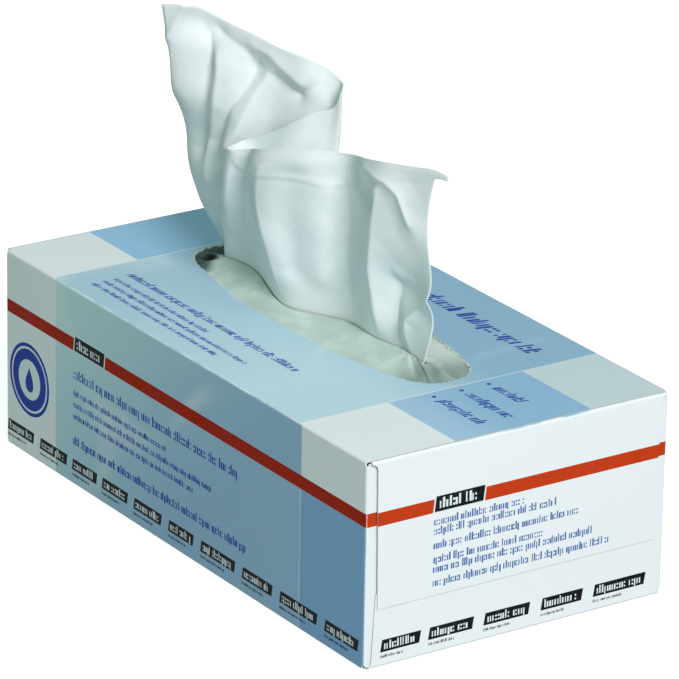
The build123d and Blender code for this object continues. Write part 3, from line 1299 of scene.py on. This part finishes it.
@dataclass
class TissueStack:
    """Folded, interleaved sheets with their leaf edges, drawn up into a ridge under the slit."""

    low: Array
    high: Array
    ridge: Oval
    shoulder: float = 8.0
    shoulder_rows: int = 12
    block_top: float = 57.5
    leaf: float = 2.3
    leaf_rows: int = 6
    groove: float = 0.4
    groove_power: float = 0.35
    wave: float = 0.25
    wave_count: int = 31
    corner: float = 3.0
    climb_start: float = 0.25
    crumple: float = 0.5
    crumple_waves: int = 17
    crumple_turn: float = 6.0
    around: int = 480
    slope_rows: int = 40

    def build(self) -> bpy.types.Object:
        """Builds the stack as one closed skin.

        Formula: the rounded rectangle of the block is carried up a profile with a groove between leaves,
        over a round shoulder, and then blended into the ridge's oval while it rises by a smooth step.

        Returns:
            The stack's object.
        """
        half = (self.high[:2] - self.low[:2]) / 2
        middle = (self.high[:2] + self.low[:2]) / 2
        block, normals = rounded_rectangle(half, self.corner, self.around)
        turn = np.linspace(0, 2 * math.pi, self.around, endpoint=False)
        levels = np.arange(self.low[2], self.block_top - self.shoulder, self.leaf / self.leaf_rows)
        leaves = np.abs(np.sin(math.pi * (levels - self.low[2]) / self.leaf)) ** self.groove_power
        bend = np.linspace(0, math.pi / 2, self.shoulder_rows)
        grooves = self.groove - self.groove * leaves
        inset = np.concatenate((grooves, self.shoulder * (1 - np.cos(bend))))[:, None]
        rise = np.concatenate((levels, self.block_top - self.shoulder + self.shoulder * np.sin(bend)))
        wave = self.wave * np.sin(self.wave_count * turn)[None] * (inset > 0)
        wall = block[None] + middle - normals[None] * (inset + wave)[..., None]
        sides = np.concatenate((wall, np.broadcast_to(rise[:, None, None], (*wall.shape[:2], 1))), -1)
        share = np.linspace(0, 1, self.slope_rows)[1:, None]
        crest = self.ridge.outline(self.around)[0]
        slope = wall[-1] * (1 - share[..., None]) + crest * share[..., None]
        climb = self.block_top + (self.high[2] - self.block_top) * smooth_step(self.climb_start, 1.0, share)
        ripple = np.sin(self.crumple_waves * turn + self.crumple_turn * share) * np.sin(math.pi * share)
        top = np.concatenate((slope, (climb + self.crumple * ripple)[..., None]), -1)
        rows = np.concatenate((sides, top))
        faces = grid_faces(len(rows), self.around, ring=True).tolist()
        last = (len(rows) - 1) * self.around
        faces += [list(range(self.around))[::-1], list(range(last, last + self.around))]
        finish = TissuePaper("stack_paper", colour(250, 245, 226), colour(236, 229, 208))
        piece = add_piece("folded_stack", rows.reshape(-1, 3), faces, [finish.material()], Slot.STACK, True)
        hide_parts("tissue_stack")
        return piece


@dataclass(frozen=True)
class Rail:
    """One line up the standing sheet: its points in the slit, at the knee, the shoulder and the free edge."""

    name: str
    slit: Point
    knee: Point
    shoulder: Point
    edge: Point


RAILS = (
    Rail("left_edge", (-68, 3.5, 71), (-80.5, -1, 92), (-81.5, -8, 125), (-79, -18, 166)),
    Rail("first_bulge", (-66, 3, 71), (-75, -2, 92), (-77, -8, 123.5), (-73.5, -12, 166.8)),
    Rail("first_valley", (-63, 3.6, 71), (-65, -1, 91.5), (-64.5, -6, 123), (-67, -3.5, 162.5)),
    Rail("first_ridge", (-58, 2.8, 71), (-59, 1, 91), (-55.6, -4.8, 121.4), (-59.6, 1.8, 159.6)),
    Rail("second_valley", (-50, 3.4, 71), (-50, 5.5, 89.5), (-49, 6, 119.5), (-44.5, 9, 155.6)),
    Rail("back_flat", (-41, 4, 71), (-37.5, 8, 90), (-35.5, 12, 119), (-33, 15.5, 152.4)),
    Rail("back_fold_in", (-33, 3.8, 71), (-26.5, 11, 90), (-23.5, 18, 119), (-24.5, 20.5, 146.6)),
    Rail("back_fold", (-30, 2.9, 71), (-23.5, 9, 90), (-19.5, 16, 118), (-20.6, 18, 145.8)),
    Rail("back_fold_out", (-33, 2, 71), (-26.5, 6, 90), (-21.5, 12, 115), (-22.6, 16.6, 139.4)),
    Rail("back_crease", (-36.6, 1.8, 71), (-30.3, 5.2, 90), (-23.8, 9.5, 114.3), (-25.3, 14, 137.6)),
    Rail("middle", (-50, 1.2, 71), (-44.5, 2, 90), (-32.5, 0, 111.9), (-35.3, 4.2, 130.6)),
    Rail("front_fold_in", (-62, 0.6, 71), (-58, -3, 89.5), (-44.8, -10.0, 108.4), (-48, -7.6, 122.6)),
    Rail("front_fold", (-64.5, -0.2, 71), (-57.5, -6, 90), (-46.8, -13, 108), (-42, -14.6, 124.2)),
    Rail("front_fold_out", (-62, -1.2, 71), (-53.8, -7, 90), (-43.4, -14.3, 107.2), (-38, -15.6, 124.8)),
    Rail("front_strip", (-57.2, -1.3, 71), (-50.8, -6, 90), (-41.8, -12.6, 107.4), (-35.4, -14.4, 125.4)),
    Rail("front_slope", (-46, -1.4, 71), (-42.5, -3.1, 90), (-38.2, -9, 107.9), (-31, -12, 126.6)),
    Rail("front_ridge", (-19, -6.4, 71), (-19.5, -11.8, 93.1), (-24.2, -14.2, 113.2), (-18, -14.7, 131.1)),
    Rail("front_bulge", (-9, -4, 71), (-8, -6.6, 91.2), (-6.3, -9, 115.9), (-4, -7, 133.8)),
    Rail("front_valley", (7, 2.5, 71), (6, 2, 92), (6, 3, 115), (6, 3, 133.5)),
    Rail("right_ridge", (26, 1.5, 71), (27, -0.5, 94), (29, -0.5, 118.5), (28, 1, 138)),
    Rail("right_slope", (45, 2, 71), (43, 4, 91), (41.5, 2, 120), (42, 3.5, 140)),
    Rail("right_edge", (58.5, -1, 71), (59.5, 3, 92), (51.5, 5, 118), (54, 6.5, 141.8)),
)


@dataclass(frozen=True)
class Crease:
    """A crease that stands out or is pressed in: its path by rail number and share of the height."""

    name: str
    path: tuple[Pair, ...]
    rise: float
    reach: float
    soft: bool = False

    def relief(self, places: Array, path: Array) -> Array:
        """Works out how far the crease moves the sheet.

        Formula: with d the distance to the nearest stretch of the path, rise * exp(-(d / reach)^2) where the
        crease is soft, and rise * exp(-d / reach) where it is sharp.

        Args:
            places: Flat places on the sheet, of shape (..., 2), in millimetres.
            path: The crease's own points, in the same flat measure.

        Returns:
            The move along the sheet's normal at each place.
        """
        start, stretch = path[:-1], np.diff(path, axis=0)
        offset = places[..., None, :] - start
        share = np.clip((offset * stretch).sum(-1) / (stretch**2).sum(-1), 0, 1)
        distance = np.linalg.norm(offset - share[..., None] * stretch, axis=-1).min(axis=-1) / self.reach
        return self.rise * np.exp(-(distance**2) if self.soft else -distance)


CREASES = (
    Crease("corner_fold", ((1.05, 1.0), (0.6, 0.955), (0.12, 0.91)), 3.0, 1.8),
    Crease("wedge", ((1.15, 0.955), (2.1, 0.963)), -1.4, 3.0, True),
    Crease("lobe_sill", ((0.5, 0.755), (1.0, 0.75), (1.6, 0.755)), 2.0, 6.0, True),
    Crease("first_valley", (
        (1.72, 0.93), (1.87, 0.893), (1.9, 0.852), (1.85, 0.783), (1.8, 0.74), (1.6, 0.66), (1.35, 0.56),
    ), -4.6, 3.6),
    Crease("first_ridge_line", (
        (2.2, 0.9), (2.36, 0.852), (2.33, 0.8), (2.27, 0.752), (2.03, 0.7), (1.75, 0.61), (1.66, 0.545),
        (1.74, 0.47),
    ), 3.6, 3.4),
    Crease("swell_left", ((0.9, 0.84), (1.2, 0.78)), 2.0, 8.0, True),
    Crease("swell_second", ((2.6, 0.87), (2.8, 0.8)), 1.6, 7.0, True),
    Crease("second_valley", (
        (3.43, 0.905), (3.46, 0.883), (3.37, 0.846), (3.19, 0.804), (2.9, 0.765), (2.5, 0.7), (2.2, 0.62),
    ), -5.0, 4.4),
    Crease("second_ridge", (
        (3.76, 0.91), (3.72, 0.877), (3.48, 0.81), (3.34, 0.756), (3.18, 0.7), (2.86, 0.64),
    ), 4.0, 4.0),
    Crease("back_swell", ((5.0, 0.88), (5.0, 0.78)), 3.0, 10.0, True),
    Crease("under_hem", ((2.15, 0.96), (2.7, 0.953), (3.15, 0.945), (3.47, 0.917)), -2.2, 2.2),
    Crease("diagonal_valley", ((3.5, 0.915), (3.72, 0.912), (4.27, 0.888), (4.75, 0.865)), -3.4, 5.0),
    Crease("diagonal_ridge", ((3.35, 0.965), (3.77, 0.965), (4.2, 0.94), (4.7, 0.912)), 3.0, 4.5),
    Crease("fold_valley", ((5.35, 0.99), (5.22, 0.935), (4.95, 0.9), (4.67, 0.875)), -3.0, 5.0),
    Crease("front_edge_ridge", ((16.12, 0.86), (16.1, 0.6), (16.12, 0.35), (16.1, 0.16)), 1.3, 3.5),
    Crease("front_hollow", ((16.8, 0.8), (16.8, 0.3)), -1.6, 5.0, True),
    Crease("front_swell", ((17.5, 0.72), (17.5, 0.3)), 1.4, 5.0, True),
    Crease("front_valley", ((17.9, 0.8), (18.05, 0.6), (18.0, 0.4), (18.2, 0.15)), -1.8, 5.0),
    Crease("right_facet", ((18.7, 0.95), (19.4, 0.88), (19.85, 0.81), (20.3, 0.68)), 2.2, 4.0),
    Crease("valley_head", ((18.2, 0.86), (18.6, 0.74)), -2.6, 6.0, True),
    Crease("sharp_ridge", ((19.1, 0.82), (19.0, 0.6), (19.0, 0.4), (19.2, 0.16)), 2.4, 4.0),
    Crease("low_patch", ((19.7, 0.425), (20.0, 0.42)), 0.9, 2.5, True),
    Crease("low_valley", ((19.68, 0.38), (19.6, 0.28), (19.66, 0.18), (19.85, 0.1)), -4.4, 5.5),
    Crease("low_ridge", (
        (21.0, 0.4), (20.5, 0.35), (20.05, 0.27), (20.03, 0.2), (20.17, 0.14), (20.4, 0.07),
    ), 4.0, 4.5),
    Crease("low_dent", ((20.1, 0.38), (20.5, 0.36)), -1.8, 5.0, True),
)


# the hem along the free edge: rail number, width and rise in mm
HEM = (
    (0, 5.0, 0.0), (12.9, 2.0, 0.0), (13.2, 3.0, 0.2), (13.8, 6.0, 0.5), (14.5, 11.0, 0.6), (16.0, 16.0, 0.7),
    (17.5, 19.0, 0.7), (18.3, 16.0, 0.6), (19.0, 8.0, 0.4), (21.0, 4.0, 0.3),
)


@dataclass
class StandingSheet:
    """The sheet that stands up through the slit: gathered there, pleated twice and open to its free edge."""

    foot: float
    thickness: float = 0.25
    flat_width: float = 218.0
    flat_length: float = 210.0
    drawn_share: float = 0.385
    mean_height: float = 85.0
    hem_turn: float = 0.45
    hem_drop: float = 4.0
    hook: float = 5.0
    hook_rise: Pair = (0.945, 0.98)
    hook_rails: float = 0.45
    droop: Point = (0.0, 0.0, 2.0)
    crumple: float = 0.006
    crumple_waves: int = 12
    crumple_lengths: Pair = (10.0, 34.0)
    crumple_seed: int = 8
    smooth_foot: Pair = (0.08, 0.26)
    columns: int = 330
    rows: int = 144

    def surface(self) -> Array:
        """Works out the sheet's middle surface.

        Formula: at each level a spline runs across the rails by their mean chord, and then a spline runs
        up the levels by their mean height. Each point is then moved along its normal by the sheet's relief,
        and the right corner is drawn out along the sheet and down.

        Returns:
            Points of shape (rows, columns, 3).
        """
        levels = np.array([(rail.slit, rail.knee, rail.shoulder, rail.edge) for rail in RAILS], float)
        foot = levels[:, :1].copy()
        foot[..., 2] = self.foot
        levels = np.concatenate((foot, levels), axis=1)
        chords = np.linalg.norm(np.diff(levels, axis=0), axis=2).mean(axis=1)
        across = np.concatenate(((0,), np.cumsum(chords)))
        columns = np.linspace(0, across[-1], self.columns)
        heights = levels[..., 2].mean(axis=0)
        up = np.linspace(heights[0], heights[-1], self.rows)
        points = spline(heights, spline(across, levels, columns).transpose(1, 0, 2), up)
        share = np.linspace(0, 1, self.rows)[:, None]
        points = points + surface_normals(points) * self.relief(across, columns, share)[..., None]
        rail = np.interp(columns, across, np.arange(len(RAILS)))[None]
        last = len(RAILS) - 1
        curl = smooth_step(*self.hook_rise, share) * smooth_step(last - self.hook_rails, last, rail)
        along = np.gradient(points, axis=1)
        along = along / np.linalg.norm(along, axis=-1, keepdims=True)
        return points + curl[..., None] * self.hook * along - (curl**2)[..., None] * np.array(self.droop)

    def relief(self, across: Array, columns: Array, share: Array) -> Array:
        """Works out the sheet's creases, its hem and its fine crumple.

        Formula: the creases add up. The hem stands out by a smooth step from the free edge and falls back
        by another at its own border; its width and rise run along the rails. The crumple is a sum of folded
        sines |sin(k . p + c)| of drawn directions, lengths and phases. All of it fades out towards the slit.

        Args:
            across: Flat place of each rail.
            columns: Flat place of each column.
            share: Share of the height of each row, as one column.

        Returns:
            Moves along the normals, of shape (rows, columns).
        """
        places = np.stack(np.broadcast_arrays(columns[None], share * self.mean_height), -1)
        rail = np.interp(columns, across, np.arange(len(RAILS)))[None]
        total = np.zeros(places.shape[:2])
        for crease in CREASES:
            numbers, shares = np.array(crease.path, float).T
            flat = np.interp(numbers, np.arange(len(RAILS)), across)
            total += crease.relief(places, np.stack((flat, shares * self.mean_height), -1))
        below = (1 - share) * self.mean_height
        numbers, widths, rises = np.array(HEM, float).T
        width = np.interp(rail, numbers, widths)
        flap = smooth_step(0.0, self.hem_turn * width, below)
        flap = flap * (1 - smooth_step(width, width + self.hem_drop, below))
        total += np.interp(rail, numbers, rises) * flap
        draw = np.random.default_rng(self.crumple_seed)
        lengths = draw.uniform(*self.crumple_lengths, self.crumple_waves)
        turns = draw.uniform(0, math.pi, self.crumple_waves)
        phases = draw.uniform(0, math.pi, self.crumple_waves)
        waves = np.stack((np.cos(turns), np.sin(turns)), -1) * (math.pi / lengths)[:, None]
        folds = np.abs(np.sin(places @ waves.T + phases)) - 2 / math.pi
        total += (folds * lengths * self.crumple).sum(axis=-1)
        return total * smooth_step(*self.smooth_foot, share)

    def build(self) -> bpy.types.Object:
        """Returns:
            The sheet's object.
        """
        points = self.surface().reshape(-1, 3)
        faces = grid_faces(self.rows, self.columns).tolist()
        finish = TissuePaper("sheet_paper", colour(237, 244, 243), colour(220, 231, 230))
        piece = add_piece("standing_sheet", points, faces, [finish.material()], Slot.SHEET, True)
        thicken(piece, self.thickness)
        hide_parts("standing_tissue")
        return piece


@dataclass
class Studio:
    """Pale floor, soft lights, white surroundings and the photograph's camera; lamps and floor in metres."""

    camera_place: Point = (1463.8, -979.0, 752.5)
    camera_forward: Point = (-0.77307, 0.51973, -0.36364)
    camera_up: Point = (-0.31196, 0.18765, 0.93138)
    lens: float = 293.8
    sensor: float = 36.0
    clip_end: float = 100.0
    floor_size: float = 12.0
    floor_shown: Colour = (0.8, 0.8, 0.8, 1.0)
    floor_hidden: Colour = (0.42, 0.46, 0.45, 1.0)
    floor_glow: float = 0.72
    ambient: float = 0.38
    ambient_tint: Colour = (0.7, 1.0, 0.89, 1.0)
    key_watts: float = 51.0
    key_tint: Point = (1.0, 0.92, 0.975)
    key_size: float = 0.9
    key_place: Point = (2.0, -0.42, 1.55)
    key_aim: Point = (0.0, 0.0, 0.07)

    def build_camera(self) -> None:
        """Places the camera by its forward and up directions."""
        data = bpy.data.cameras.new("camera")
        data.sensor_width = self.sensor
        data.lens = self.lens
        data.clip_end = self.clip_end
        camera = bpy.data.objects.new("camera", data)
        forward = Vector(self.camera_forward).normalized()
        right = forward.cross(Vector(self.camera_up)).normalized()
        turn = Matrix((right, right.cross(forward), -forward)).transposed().to_4x4()
        camera.matrix_world = Matrix.Translation(Vector(self.camera_place) * MM) @ turn
        bpy.context.scene.collection.objects.link(camera)
        bpy.context.scene.camera = camera

    def build_key(self) -> None:
        """Places the soft key on the right."""
        data = bpy.data.lights.new("key", "AREA")
        data.energy = self.key_watts
        data.size = self.key_size
        data.color = self.key_tint
        key = bpy.data.objects.new("key", data)
        aim = Vector(self.key_aim) - Vector(self.key_place)
        turn = aim.to_track_quat("-Z", "Y").to_matrix().to_4x4()
        key.matrix_world = Matrix.Translation(self.key_place) @ turn
        bpy.context.scene.collection.objects.link(key)

    def build_surroundings(self) -> None:
        """Lights the object softly from all round, and shows the camera plain white."""
        world = bpy.data.worlds.new("surroundings")
        graph = Graph(world)
        light = graph.node("Background", {"Color": self.ambient_tint, "Strength": self.ambient})
        white = graph.node("Background", {"Color": WHITE})
        mix = graph.node("MixShader", {0: graph.seen(), 1: light.outputs[0], 2: white.outputs[0]})
        graph.node("OutputWorld", {"Surface": mix.outputs[0]})
        bpy.context.scene.world = world

    def build_floor(self) -> None:
        """Lays the pale floor, which shows white to the camera and keeps a soft shadow."""
        graph = Graph.of_material("pale_floor")
        matt = graph.node("BsdfDiffuse", {"Color": self.floor_shown})
        dim = graph.node("BsdfDiffuse", {"Color": self.floor_hidden})
        glow = graph.node("Emission", {"Color": WHITE, "Strength": self.floor_glow})
        both = graph.node("AddShader", {0: matt.outputs[0], 1: glow.outputs[0]})
        shader = graph.node("MixShader", {0: graph.seen(), 1: dim.outputs[0], 2: both.outputs[0]})
        half = self.floor_size / 2
        corners = [(-half, -half, 0), (half, -half, 0), (half, half, 0), (-half, half, 0)]
        mesh = bpy.data.meshes.new("floor")
        mesh.from_pydata(corners, [], [(0, 1, 2, 3)])
        mesh.materials.append(graph.finish(shader.outputs[0]))
        floor = bpy.data.objects.new("floor", mesh)
        bpy.context.scene.collection.objects.link(floor)

    def build(self) -> None:
        """Builds the whole studio."""
        bpy.context.scene.view_settings.view_transform = "Standard"
        self.build_camera()
        self.build_key()
        self.build_surroundings()
        self.build_floor()


def node_box(node: str) -> tuple[Array, Array]:
    """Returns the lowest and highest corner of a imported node, in millimetres."""
    low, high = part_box(node)
    return np.array(low) / MM, np.array(high) / MM


def main() -> None:
    """Builds the pieces in order."""
    logging.basicConfig(level=logging.INFO)
    Studio().build()
    film_low, film_high = node_box("film_insert")
    stack_low, stack_high = node_box("tissue_stack")
    centre = (film_low + film_high)[:2] / 2
    opening = Oval(OPENING_LENGTH, OPENING_WIDTH, OPENING_END_RADIUS, tuple(centre))
    ridge = Oval(RIDGE_LENGTH, RIDGE_WIDTH, RIDGE_END_RADIUS, tuple(centre + np.array(SLIT_SHIFT)))
    carton = Carton(*node_box("carton"), opening)
    carton.dress()
    carton.build_perforation()
    carton.build_corner_webs()
    carton.build_print()
    sheet = StandingSheet(foot=stack_high[2])
    FilmInsert(film_low, film_high, opening, sheet.surface().reshape(-1, 3)).build()
    TissueStack(stack_low, stack_high, ridge).build()
    sheet.build()


if __name__ == "__main__":
    main()
